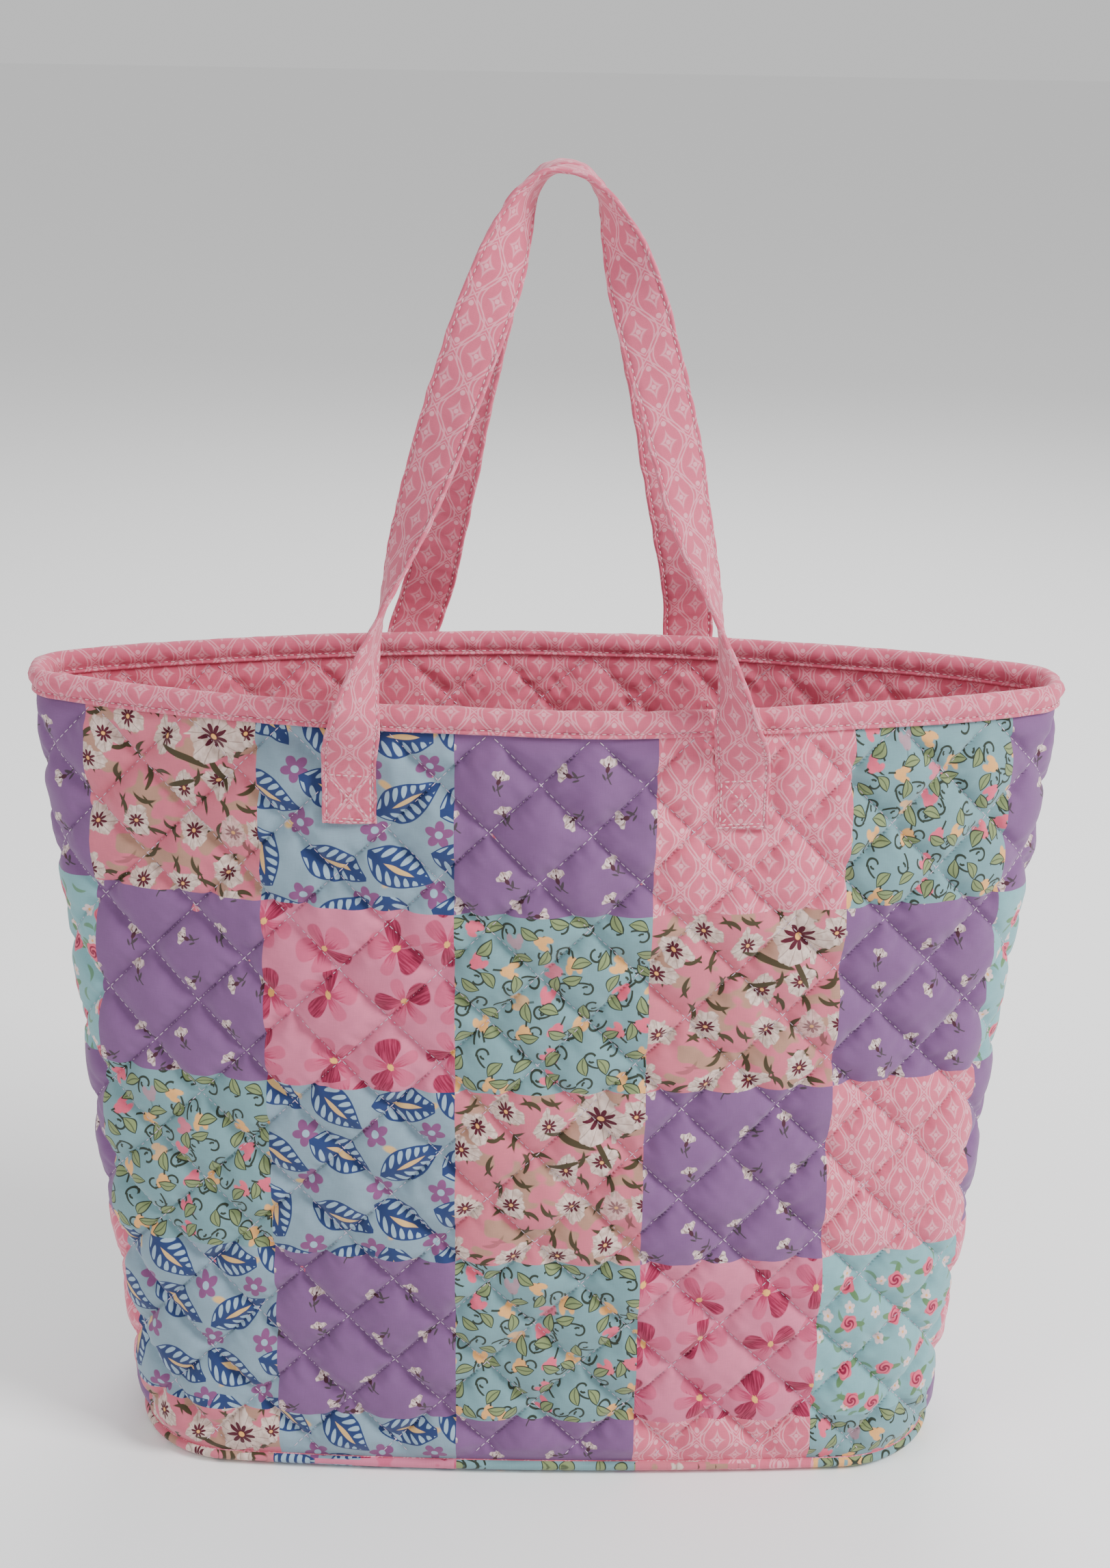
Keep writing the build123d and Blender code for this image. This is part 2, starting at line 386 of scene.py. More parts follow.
def rose_print(x, y):
    """Small roses, green leaves and white blossoms, on pale teal."""
    result = AQUA
    a, b, *_ = scatter(x, y, 15.0, 0.7, (4.0, 4.0))
    result = mixed(result, FERN, inside(oval(a, b - 0.08 * a * a, 4.6, 1.1)) * 0.8)
    a, b, *_ = scatter(x, y, 19.0, 0.5, (2.0, 13.0))
    _, along, across = five_petals(a, b)
    result = paint(result, CREAM, oval(along - 1.9, across, 1.6, 1.3))
    result = paint(result, APRICOT, 0.8 - length(a, b))
    a, b, pick, _ = scatter(x, y, 27.0, 0.5, (14.0, 0.0))
    leaves = oval(abs(a) - 6.0, b + 2.2 + (abs(a) - 6.0) * 0.3, 4.2, 1.9)
    result = paint(result, FERN, leaves)
    r = length(a, b)
    angle = calc("ARCTAN2", b, a)
    bloom = 5.2 + 0.5 * cos(angle * 5.0 + pick * 6.0) - r
    swirl = cos(r * 2.4 + angle * 2.0)
    hue = paint(CORAL_BUD, WINE, swirl * 0.6 + 0.8 - r * 0.32, 0.5)
    return paint(result, hue, bloom, 0.35)


def lattice_print(x, y):
    """Pale interlocking ovals, each with a small star and dots, on pink."""
    across, down = 23.0, 27.5
    lines, stars = [], []
    for shift in (0.0, 1.0):
        a = wrap(x + shift * across / 2, across) - across / 2
        b = wrap(y + shift * down / 2, down) - down / 2
        gap = abs(a) - 9.6 * cos(b * (math.pi / down))
        double = most(0.46 - abs(gap), 0.34 - abs(gap + 2.0))
        reach = calc("POWER", abs(a) / 3.8, 0.62) + calc("POWER", abs(b) / 5.0, 0.62)
        star = most(0.15 - abs(reach - 1.0), 1.2 - length(a, b))
        dots = 1.3 - length(a, abs(b) - 9.2)
        lines.append(double)
        stars.append(most(star, dots))
    result = mixed(PINK, PALE_PINK, inside(most(*lines), 0.22) * 0.65)
    return mixed(result, PALE_PINK, inside(most(*stars), 0.2) * 0.75)


def new_shader(name):
    """A new material and its shader. Nodes are made in its tree from here on."""
    material = bpy.data.materials.new(name)
    material.use_nodes = True
    Num.tree = material.node_tree
    return material, Num.tree.nodes["Principled BSDF"]


def relief(shader, height, strength, distance):
    """Fine relief that is too small for the mesh."""
    bump = new_node("ShaderNodeBump", {"Strength": strength, "Distance": distance, "Height": height})
    feed(shader, {"Normal": bump.outputs[0]})


def cotton(name, painter, tiled=True):
    """A printed cotton: the print, uneven dye, both sets of threads, and their relief. A tiled print starts
    again in each patch."""
    material, shader = new_shader(name)
    u, v, _ = parts(new_node("ShaderNodeUVMap", {}, uv_map="cloth").outputs[0])
    u, v = u * MM, v * MM
    print_colour = painter(wrap(u, PATCH * MM), wrap(v, PATCH * MM)) if tiled else painter(u, v)
    weft, warp = grain(u, v, SLUB, FIBRE), grain(u, v, FIBRE, SLUB)
    cloud = grain(u, v, 30.0, 24.0)
    threads = (weft + warp) * 0.5
    shade = 0.80 + threads * 0.26 + cloud * 0.14
    toned = new_node("ShaderNodeVectorMath", {0: print_colour, "Scale": shade}, operation="SCALE")
    weave = sin(u * (2 * math.pi / WEAVE)) * sin(v * (2 * math.pi / WEAVE))
    relief(shader, threads + weave * 0.25, strength=0.35, distance=0.0002)
    feed(shader, {"Base Color": toned.outputs[0], "Roughness": 0.78 + threads * 0.2,
                  "Specular IOR Level": 0.25, "Sheen Weight": 0.18, "Sheen Roughness": 0.5})
    return material


def thread_material(name, tone):
    """Twisted sewing thread, of a colour given as 0 to 255."""
    material, shader = new_shader(name)
    x, _, z = parts(new_node("ShaderNodeTexCoord", {}).outputs["Object"])
    a, b = x * MM, z * MM
    fibre = grain(a + b, a - b, 0.5, 1.4)
    shaded = colour(*[c * 0.86 for c in tone])
    relief(shader, fibre, strength=0.5, distance=0.0001)
    feed(shader, {"Base Color": mixed(shaded, colour(*tone), fibre), "Roughness": 0.55})
    return material


PRINTS = {
    "P": cotton("cotton_lilac", lilac_print),
    "H": cotton("cotton_pink_flowers", pink_flower_print),
    "D": cotton("cotton_cream_daisies", cream_daisy_print),
    "B": cotton("cotton_blue_leaves", blue_leaf_print),
    "T": cotton("cotton_teal_vines", vine_print),
    "R": cotton("cotton_roses", rose_print),
    "L": cotton("cotton_pink_lattice", lattice_print, tiled=False),
}
KINDS = sorted(PRINTS)
LINING = KINDS.index("L")
LATTICE = PRINTS["L"]

# The order of the prints, across from the left side seam and down from the rim. It repeats both ways.
ORDER = ["PDBPLT", "RPHTDP", "PTBDPL", "LBPTHR"]


def sewn(lines, way):
    """The lattice print a little deeper, with painted shade darkening the grooves along its rows of
    stitching.
    """
    def painter(x, y):
        result = mixed(lattice_print(x, y), DEEP_PINK_AND_GROOVE_SHADE, 0.14)
        for line in lines:
            # painted shade: a dark line in the colour along each row of stitching, where its groove would be
            # shaded
            groove = 0.5 - abs((x, y)[way] - line)
            result = mixed(result, DEEP_PINK_AND_GROOVE_SHADE, inside(groove, 0.6) * 0.55)
        return result
    return painter


BACK_PRINT = 0.050  # where on the cloth the middle of a strap's back face is
row = (STRAP_HALF - STRAP_STITCH) * MM
strap_rows = (-row, row, BACK_PRINT * MM - row, BACK_PRINT * MM + row)
STRAP_CLOTH = cotton("cotton_strap", sewn(strap_rows, 0), tiled=False)
THREAD = thread_material("thread_white", (220, 200, 218))
PINK_THREAD = thread_material("thread_pink", (232, 180, 188))


# ---- meshes

WAVES = 14  # in each random height


def signed_volume(points, faces):
    total = 0.0
    for f in faces:
        for k in range(1, f.shape[1] - 1):
            a, b, c = points[f[:, 0]], points[f[:, k]], points[f[:, k + 1]]
            total += np.einsum("ij,ij->", a, np.cross(b, c))
    return total


def placed(name, data):
    """A new object in the scene."""
    obj = bpy.data.objects.new(name, data)
    bpy.context.scene.collection.objects.link(obj)
    return obj


def piece(name, points, faces, uvs, materials, picks=None, body="bag"):
    """A closed smooth piece. faces and uvs are lists of arrays, one for each number of sides."""
    if signed_volume(points, faces) < 0:
        faces, uvs = [f[:, ::-1] for f in faces], [u[:, ::-1] for u in uvs]
    mesh = bpy.data.meshes.new(name)
    mesh.vertices.add(len(points))
    mesh.vertices.foreach_set("co", np.ascontiguousarray(points, np.float32).ravel())
    corners = np.concatenate([f.ravel() for f in faces]).astype(np.int32)
    sides = np.concatenate([np.full(len(f), f.shape[1]) for f in faces])
    mesh.loops.add(len(corners))
    mesh.loops.foreach_set("vertex_index", corners)
    mesh.polygons.add(len(sides))
    mesh.polygons.foreach_set("loop_start", np.concatenate([[0], np.cumsum(sides)[:-1]]).astype(np.int32))
    mesh.polygons.foreach_set("use_smooth", np.ones(len(sides), bool))
    layer = mesh.uv_layers.new(name="cloth")
    flat = np.concatenate([u.reshape(-1, 2) for u in uvs]).astype(np.float32)
    layer.uv.foreach_set("vector", flat.ravel())
    for m in materials:
        mesh.materials.append(m)
    if picks is not None:
        mesh.polygons.foreach_set("material_index", np.asarray(picks, np.int32))
    mesh.update(calc_edges=True)
    obj = placed(name, mesh)
    if body:
        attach(obj, body)
    return obj


def grid_faces(rows, cols, wrap_cols=False):
    """Quads over a grid, first as point numbers, then as numbers in a grid that isn't wrapped."""
    r, c = np.meshgrid(np.arange(rows - 1), np.arange(cols if wrap_cols else cols - 1), indexing="ij")
    r, c = r.ravel(), c.ravel()

    def quad(width, wrapped):
        nxt = (c + 1) % cols if wrapped else c + 1
        return np.stack([r * width + c, r * width + nxt, (r + 1) * width + nxt, (r + 1) * width + c], 1)

    return quad(cols, wrap_cols), quad(cols + 1 if wrap_cols else cols, False)


def shell_faces(rows, cols):
    """Quads over both faces of a thin sheet, and round its border. The first face's come first."""
    quads, _ = grid_faces(rows, cols)
    count = rows * cols
    ring = np.concatenate([
        np.arange(cols), np.arange(1, rows) * cols + cols - 1,
        (rows - 1) * cols + np.arange(cols - 2, -1, -1), np.arange(rows - 2, 0, -1) * cols])
    nxt = np.roll(ring, -1)
    border = np.stack([nxt, ring, ring + count, nxt + count], 1)
    return np.concatenate([quads, quads[:, ::-1] + count, border])


def tube_caps(rows, cols):
    """The two end faces of a tube of this many rings."""
    return np.stack([np.arange(cols)[::-1], (rows - 1) * cols + np.arange(cols)])


def distances(points):
    """How far along a line each of its points is."""
    return np.concatenate([[0], np.cumsum(np.linalg.norm(np.diff(points, axis=0), axis=1))])


def unit(vectors):
    return vectors / np.linalg.norm(vectors, axis=1)[:, None]


def swell(a, b, seed, sizes):
    """A smooth random height, about -1 to 1, made of waves of these sizes."""
    rng = np.random.default_rng(seed)
    total = 0.0
    for _ in range(WAVES):
        k = 2 * np.pi / rng.uniform(*sizes)
        way, phase = rng.uniform(0, 2 * np.pi), rng.uniform(0, 2 * np.pi)
        total = total + np.sin(k * (a * np.cos(way) + b * np.sin(way)) + phase)
    return total / math.sqrt(WAVES) * 0.8


def ease(t):
    t = np.clip(t, 0, 1)
    return t * t * (3 - 2 * t)


# The walls' outline at the base seam, and how much each measure grows up to the rim: half width, half
# depth, corner radius, and half the flat at the side.
OUTLINE = ((0.230, 0.040), (0.084, -0.014), (0.060, -0.040), (0.018, -0.015))


def wall_shape(z):
    """The outline at a height, with its long arc's radius and the angle where that meets the corner."""
    t = (z - SEAM_Z) / (RIM_Z - SEAM_Z)
    a, b, r, f = (size + growth * t for size, growth in OUTLINE)
    arc = ((a - r) ** 2 + (b - f) ** 2 - r * r) / (2 * ((b - f) - r))
    meet = np.arctan2(arc - b + f, a - r)
    return a, b, r, f, arc, meet


def wall_length(z):
    _, _, r, f, arc, meet = wall_shape(z)
    return arc * (np.pi / 2 - meet) + r * meet + f


def wall_point(u, z, n, side):
    """A point of the wall, n outside its plain cloth."""
    a, b, r, f, arc, meet = wall_shape(z)
    d = np.abs(u) * wall_length(z)
    first = arc * (np.pi / 2 - meet)
    turn = d / arc
    bend = meet - (d - first) / r
    x_arc = (arc + n) * np.sin(turn)
    x_bend = a - r + (r + n) * np.cos(bend)
    x = np.where(d < first, x_arc, np.where(bend > 0, x_bend, a + n))
    y_arc = (arc + n) * np.cos(turn) - (arc - b)
    y_bend = f + (r + n) * np.sin(bend)
    y_flat = f - (d - first - r * meet)
    y = np.where(d < first, y_arc, np.where(bend > 0, y_bend, y_flat))
    return np.stack([np.sign(u) * x, side * y, z + 0 * x], -1)


def u_at(x, z):
    """u of the point of the wall's long arc at this x."""
    arc = wall_shape(z)[4]
    return arc * np.arcsin(x / arc) / wall_length(z)


def at_strap(x, z, side, reach_x, reach_z):
    """1 at the sewn strap ends, falling to 0 away from them."""
    dx = np.maximum(np.abs(np.abs(x) - STRAP_X[side]) - STRAP_HALF, 0) / reach_x
    dz = np.maximum(np.abs(z - END_MIDDLE) - END_REACH, 0) / reach_z
    return np.exp(-dx * dx - dz * dz)


def sag(u, z, side):
    """Slow waves of the whole wall, lining and binding with it. It stays still at the sewn strap ends."""
    s, h = u * HALF_WIDTH, RIM_Z - z
    slow = swell(s, h, 11 if side < 0 else 12, (0.16, 0.34)) * 0.0024
    folds = swell(s, h * 0.35, 21 if side < 0 else 22, (0.07, 0.12)) * 0.0008
    rest = ease((z - SEAM_Z) / 0.10) * ease((1 - np.abs(u)) / 0.16)
    belly = 0.003 * np.sin(np.clip((z - SEAM_Z) / 0.442, 0, 1) * np.pi) * (1 - u * u)
    return ((slow + folds) * (1 - at_strap(s, z, side, 0.03, 0.05)) + belly) * rest


# How far from a stitch line the quilt fills out, and its puckers fade and start.
PUFF_REACH, PUCKER_REACH, PUCKER_START = 0.0046, 0.0060, 0.0010


def puff(s, h, side):
    """The quilting's relief, 0 at the stitch lines and 1 in the middle of a diamond, and its puckers."""
    seed = 31 if side < 0 else 32
    rise, pucker = 1.0, 0.0
    # the lines that run up to the right, then those that run down to the right, each with their own seed
    for across, along, line_seed in ((s + h - CROSS_S - CROSS_H, s - h, seed),
                                     (s - h - CROSS_S + CROSS_H, s + h, seed + 5)):
        line = across / PERIOD
        off = (line - np.round(line)) * PERIOD / math.sqrt(2)
        far = np.abs(off)
        rise = rise * (1 - np.exp(-far / PUFF_REACH))
        ripple = swell(along, off * 0.35 + np.round(line) * 0.7, line_seed, (0.007, 0.014))
        pucker = pucker + ripple * (np.exp(-far / PUCKER_REACH) * (1 - np.exp(-far / PUCKER_START)))
    crease = swell(s, h, seed + 9, (0.018, 0.040)) * rise
    return rise, pucker * 0.0012 + crease * 0.0008


def from_edges(u, z, above_base, beside_seams):
    """0 along the binding and the seams, rising to 1 over these distances from the base and side seams."""
    return (ease((RIM_Z - z - 0.0115) / 0.012) * ease((z - SEAM_Z) / above_base)
            * ease((1 - np.abs(u)) * HALF_WIDTH / beside_seams))


def outer_n(u, z, side):
    """How far outside the plain cloth the outer face of the quilt is. It is held flat along the binding,
    the seams and the strap ends, drawn in at the seams, and flatter toward the side seams."""
    s, h = u * HALF_WIDTH, RIM_Z - z
    rise, small = puff(s, h, side)
    lift = -0.0021 + 0.0071 * rise + small
    edge = from_edges(u, z, 0.014, 0.011)
    edge = edge * (1 - 0.9 * at_strap(s, z, side, 0.006, 0.006))
    edge = edge * (1 - 0.35 * ease((np.abs(u) - 0.78) / 0.15))
    base_seam = 0.0016 * (1 - ease((z - SEAM_Z) / 0.006))
    side_seam = 0.0014 * (1 - ease((1 - np.abs(u)) * HALF_WIDTH / 0.004))
    return lift * edge - 0.0004 * (1 - edge) - (base_seam + side_seam) + sag(u, z, side)


def inner_n(u, z, side):
    """The same for the lining's face, which is inside."""
    s, h = u * HALF_WIDTH, RIM_Z - z
    rise, small = puff(s, h, side)
    lift = -0.0008 + 0.0036 * rise + small
    return -WALL - lift * from_edges(u, z, 0.02, 0.014) + sag(u, z, side)


def cloth_uv(u, z, side):
    """Where a point of the wall is on the patchwork, in metres from the corner of a patch. The front's two
    end columns are narrower."""
    s, h = u * HALF_WIDTH, RIM_Z - z
    if side > 0:
        return np.stack([2 * PATCH - SEAM_S - s, SEAM_H + PATCH - h], -1)
    across = s - SEAM_S
    right, left = 2 * PATCH, -PATCH
    across = np.where(across > right, right + (across - right) * PATCH_STEPS / RIGHT_STEPS, across)
    across = np.where(across < left, left + (across - left) * PATCH_STEPS / LEFT_STEPS, across)
    return np.stack([across, SEAM_H - h], -1)


def print_under(places, rows_down=0):
    """The number of the print at each place on the patchwork, or this many rows further down."""
    across, down = (np.floor(v / PATCH).astype(int) for v in (places[:, 0], -places[:, 1]))
    names = np.array([[KINDS.index(k) for k in row] for row in ORDER])
    return names[(down + rows_down + 1) % 4, (across + 3) % 6]


def quilt_wall(name, side, nodes):
    """One wall: printed cloth outside, lining inside, batting between, quilted through."""
    first = math.ceil((-HALF_WIDTH - SEAM_S) / STEP + 0.3)
    last = math.floor((HALF_WIDTH - SEAM_S) / STEP - 0.3)
    s = np.concatenate([[-HALF_WIDTH], SEAM_S + np.arange(first, last + 1) * STEP, [HALF_WIDTH]])
    depth = RIM_Z - SEAM_Z
    h = np.concatenate([[0.0012], np.arange(1, math.floor(depth / STEP - 0.3) + 1) * STEP, [depth]])
    S, H = np.meshgrid(s, h)
    u, z = S / HALF_WIDTH, RIM_Z - H
    outer = wall_point(u, z, outer_n(u, z, side), side)
    inner = wall_point(u, z, inner_n(u, z, side), side)
    for layer in (outer, inner):
        layer[:, (0, -1), 1] = side * 0.00005  # just short of the other wall, at the side seams
    faces = shell_faces(*S.shape)
    uv = np.concatenate([cloth_uv(u, z, side).reshape(-1, 2)] * 2)
    centre = cloth_uv((u[1:, 1:] + u[:-1, :-1]) / 2, (z[1:, 1:] + z[:-1, :-1]) / 2, side).reshape(-1, 2)
    outside = print_under(centre)
    picks = np.concatenate([outside, np.full(len(faces) - len(outside), LINING)])
    points = np.concatenate([outer.reshape(-1, 3), inner.reshape(-1, 3)])
    obj = piece(name, points, [faces], [uv[faces]], [PRINTS[k] for k in KINDS], picks)
    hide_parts(*nodes)


for word, side in SIDES:
    quilt_wall(f"quilt_{word}", side, (f"outer_{word}", f"batting_{word}", f"lining_{word}"))


def round_wall(count):
    """u and side of points all the way round, as front then back, and the distance round."""
    half = np.linspace(-1, 1, count // 2, endpoint=False)
    u = np.concatenate([half, -half])
    side = np.concatenate([-np.ones(count // 2), np.ones(count // 2)])
    return u, side, np.arange(count + 1) / count * 4 * HALF_WIDTH


def wall_both(u, z, n, side):
    return np.where(side[..., None] < 0, wall_point(u, z, n, -1), wall_point(u, z, n, 1))


def sag_both(u, z, side):
    return np.where(side < 0, sag(u, z, -1), sag(u, z, 1))


def loop_piece(name, around, profile, swell_by, uv_across, nodes, material):
    """A closed band all round the walls. profile is a closed line of (outside the cloth, height)."""
    u, side, distance = round_wall(around)
    n, z = (np.array(v)[:, None] for v in zip(*profile))
    z = z + 0 * u
    points = wall_both(u + 0 * z, z, n + sag_both(u, z, side) + swell_by(distance[:-1], n, z), side + 0 * z)
    quads, flat = grid_faces(len(profile) + 1, around, wrap_cols=True)
    quads = quads % (len(profile) * around)  # the last row is the first again
    v = np.array(uv_across)[:, None] + 0 * distance
    uv = np.stack([distance + 0 * v, v], -1).reshape(-1, 2)
    obj = piece(name, points.reshape(-1, 3), [quads], [uv[flat]], [material])
    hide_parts(*nodes)


def along_profile(profile):
    return distances(np.array(list(profile) + [profile[0]]))


# The rim binding: a folded strip, full above its stitching and pinched along it.
BINDING = [
    (0.0010, BINDING_LOW), (0.0019, 0.4384), (0.0017, 0.4394), (0.0008, BINDING_STITCH), (0.0017, 0.4416),
    (0.0026, 0.4436), (0.0028, 0.4460), (0.0019, 0.4484), (0.0002, 0.4501), (-0.0023, 0.4508),
    (-0.0048, 0.4501), (-0.0065, 0.4484), (-0.0074, 0.4460), (-0.0072, 0.4436), (-0.0063, 0.4416),
    (-0.0054, BINDING_STITCH), (-0.0063, 0.4394), (-0.0065, 0.4384), (-0.0056, BINDING_LOW),
    (-0.0040, 0.4382), (-0.0023, 0.4384), (-0.0006, 0.4382)]


def binding_puckers(distance, n, z):
    """Slanting puckers over the fold, less of them at its lower edges."""
    outward = np.sign(n + WALL / 2)
    slant = distance + (z - 0.444) * 0.8 * outward
    fine = swell(slant, n * 1.5, 41, (0.006, 0.013))
    slow = swell(distance, n, 42, (0.03, 0.07))
    full = np.clip((z - BINDING_LOW) / 0.004, 0.25, 1)
    return outward * (fine * 0.00055 + slow * 0.0005) * full


binding_run = along_profile(BINDING)
stitched = [run * MM for run, (_, z) in zip(binding_run, BINDING) if z == BINDING_STITCH]
BINDING_CLOTH = cotton("cotton_binding", sewn(stitched, 1), tiled=False)
loop_piece("rim_binding_cloth", 640, BINDING, binding_puckers, binding_run, ("rim_binding",),
           BINDING_CLOTH)

# The tape over the base seam, inside.
tape_low, tape_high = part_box("base_seam_tape")
TAPE = [(-WALL - 0.0002, tape_low.z + 0.001), (-WALL - 0.0014, tape_low.z + 0.0006),
        (-WALL - 0.0018, tape_low.z + 0.003), (-WALL - 0.0016, tape_high.z - 0.003),
        (-WALL - 0.0014, tape_high.z - 0.0004), (-WALL - 0.0002, tape_high.z)]


def tape_puckers(distance, n, z):
    """Shallow puckers on the face that shows."""
    return -np.abs(swell(distance, z, 43, (0.008, 0.02))) * 0.0003 * (n < -WALL - 0.0005)


loop_piece("base_tape_cloth", 480, TAPE, tape_puckers, along_profile(TAPE), ("base_seam_tape",),
           LATTICE)


TAPE_HALF = 0.009  # half the width of a side tape


def side_tape(name, hand, node):
    """The tape over a side seam, inside: it crosses from the front wall to the back."""
    low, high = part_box(node)
    z = np.linspace(low.z + 0.0005, high.z - 0.0002, 180)[:, None]
    reach = np.linspace(-TAPE_HALF, TAPE_HALF, 13)[None, :]
    u = hand * (1 - np.abs(reach) / wall_length(z))
    crown = 0.0006 * (1 - (reach / TAPE_HALF) ** 8) + np.abs(swell(z, reach, 44, (0.008, 0.02))) * 0.0003
    layers = []
    for depth in (-WALL - 0.0009 - crown, -WALL + 0.0002 + 0 * crown):
        front, back = wall_point(u, z, depth, -1), wall_point(u, z, depth, 1)
        layers.append(np.where((reach < 0)[..., None], front, back))
    faces = shell_faces(*u.shape)
    uv = np.concatenate([np.stack([reach + 0 * z, z + 0 * reach], -1).reshape(-1, 2)] * 2)
    obj = piece(name, np.concatenate([p.reshape(-1, 3) for p in layers]), [faces], [uv[faces]], [LATTICE])
    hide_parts(node)


side_tape("side_tape_cloth_left", -1, "side_seam_tape_left")
side_tape("side_tape_cloth_right", 1, "side_seam_tape_right")


# The base's edge, as (outside the cloth, height): rolled up to the base seam, then down inside.
ROLLED_EDGE = ((-0.0050, 0.0004), (-0.0030, 0.0008), (-0.0010, 0.0020), (0.0006, 0.0038), (0.0010, 0.0056),
               (0.0004, 0.0072), (-0.0012, 0.0082))
INNER_EDGE = ((-0.0040, 0.0084), (-0.0046, 0.0070), (-0.0050, 0.0058))
BASE_INSET = -0.0060  # the same distance, where the base is flat
UNDERSIDE, BASE_TOP = 0.0003, 0.0048


def base_quilt():
    """The base, made of rings: printed cloth quilted flat and rolled up to its seam, and its lining."""
    around = 480
    u, side, _ = round_wall(around)
    rings, kinds = [], []

    def ring(n, z, share, inner):
        """One ring at a share of the way out from the middle, raised or sunk by its quilting."""
        rim = wall_both(u, np.full(around, SEAM_Z), np.full(around, n), side)
        flat = rim * [share, share, 0]
        rise, small = puff(flat[:, 0], flat[:, 1], -1)
        if inner:
            flat[:, 2] = z + (0.0020 * rise + small) * ease((1 - share) / 0.06)
        else:
            flat[:, 2] = z + (1 - rise) * 0.0012 * ease((1 - share) / 0.06)
        rings.append(flat)
        kinds.append(inner)

    shares = np.linspace(0.03, 0.985, 34)
    for share in shares:
        ring(BASE_INSET, UNDERSIDE, share, False)
    for n, z in ROLLED_EDGE:
        ring(n, z, 1.0, False)
    for n, z in INNER_EDGE:
        ring(n, z, 1.0, True)
    for share in shares[::-1]:
        ring(BASE_INSET, BASE_TOP, share, True)
    points = np.concatenate(rings)
    quads, _ = grid_faces(len(rings), around, wrap_cols=True)
    caps = tube_caps(len(rings), around)
    uv = points[:, :2] - [SEAM_S, 0.02]
    inner = np.repeat(np.array(kinds[1:]), around)
    printed = np.where(inner, LINING, print_under(uv[quads].mean(1), 3))
    picks = np.concatenate([printed, print_under(uv[:1], 3), [LINING]])
    uvs = [uv[quads], uv[caps]]
    obj = piece("quilt_base", points, [quads, caps], uvs, [PRINTS[k] for k in KINDS], picks)
    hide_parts("outer_base", "batting_base", "lining_base")


base_quilt()


# ---- stitches

# Kinds of stitching: the pitch, the share of it that one stitch takes up, and the thread's width.
QUILTED, TOPSTITCHED, BOXED = (0.0040, 0.78, 0.00055), (0.0038, 0.70, 0.0008), (0.0036, 0.74, 0.0009)


def runs_along(points, normals, kind):
    """Centres, ways, normals and lengths of running stitches along a line, or None if it is too short."""
    pitch, share, _ = kind
    at = distances(points)
    count = int((at[-1] - pitch * 0.2) / pitch)
    if count < 1:
        return None
    start = np.arange(count) * pitch + (at[-1] - count * pitch) / 2

    def pick(values, where):
        return np.stack([np.interp(where, at, values[:, k]) for k in range(3)], 1)

    a, b = pick(points, start), pick(points, start + pitch * share)
    way = b - a
    size = np.linalg.norm(way, axis=1)
    return (a + b) / 2, way / size[:, None], pick(normals, start + pitch * share / 2), size


def stitch_piece(name, runs, kind, body="bag", material=THREAD, nodes=()):
    """One piece of many short closed stitches, each five-sided and full in its middle."""
    width = kind[2]
    centre, way, normal, size = (np.concatenate(v) for v in zip(*[r for r in runs if r is not None]))
    normal = unit(normal - np.einsum("ij,ij->i", normal, way)[:, None] * way)
    across = np.cross(way, normal)
    ring = np.arange(5) * 2 * np.pi / 5 + np.pi / 2
    shape = [(-0.5, 0, -0.5)]
    for t, wide in ((-0.34, 0.8), (0.0, 1.0), (0.34, 0.8)):
        shape += [(t, wide * math.cos(a), wide * math.sin(a) + (0.15 if t == 0 else 0)) for a in ring]
    shape.append((0.5, 0, -0.5))
    shape = np.array(shape)
    points = (centre[:, None] + shape[:, 0, None] * size[:, None, None] * way[:, None]
              + shape[:, 1, None] * width / 2 * across[:, None]
              + shape[:, 2, None] * width / 2 * normal[:, None])
    count, each = points.shape[:2]
    k = np.arange(5)
    n = (k + 1) % 5
    tips = np.concatenate([np.stack([0 * k, 1 + n, 1 + k], 1), np.stack([16 + 0 * k, 11 + k, 11 + n], 1)])
    quads = np.concatenate([np.stack([1 + r + k, 1 + r + n, 6 + r + n, 6 + r + k], 1) for r in (0, 5)])
    base = np.arange(count) * each
    tris = (tips[None] + base[:, None, None]).reshape(-1, 3)
    fours = (quads[None] + base[:, None, None]).reshape(-1, 4)
    flat = points.reshape(-1, 3)
    uv = flat[:, [0, 2]]
    obj = piece(name, flat, [tris, fours], [uv[tris], uv[fours]], [material], body=body)
    if nodes:
        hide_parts(*nodes)
    return obj


def off_wall(u, z, n, side, face):
    """Points n outside a wall's cloth, and the way out from its outer (face 1) or inner (face -1) side."""
    points = wall_point(u, z, n, side)
    return points, wall_point(u, z, n + face * 0.01, side) - points


def quilting(name, side, face):
    """The stitches along both ways of quilting lines, from under the binding to the base seam."""
    runs = []
    h = np.arange(0.0130, RIM_Z - SEAM_Z - 0.003, 0.0010)
    for family in (1, -1):
        for k in range(-16, 17):
            # along this line s + family * h stays the same
            s = CROSS_S + family * CROSS_H + k * PERIOD - family * h
            keep = np.abs(s) < HALF_WIDTH - 0.002
            if face > 0:  # none over the strap ends
                keep &= at_strap(s, RIM_Z - h, side, 0.001, 0.001) < 0.5
            for part in np.split(np.arange(len(h)), np.where(np.diff(keep.astype(int)) != 0)[0] + 1):
                if len(part) > 6 and keep[part[0]]:
                    u, z = s[part] / HALF_WIDTH, RIM_Z - h[part]
                    n = (outer_n if face > 0 else inner_n)(u, z, side) + face * 0.00022
                    runs.append(runs_along(*off_wall(u, z, n, side, face), QUILTED))
    stitch_piece(name, runs, QUILTED)


for prefix, face in (("quilting", 1), ("quilting_lining", -1)):
    for word, side in SIDES:
        quilting(f"{prefix}_{word}", side, face)


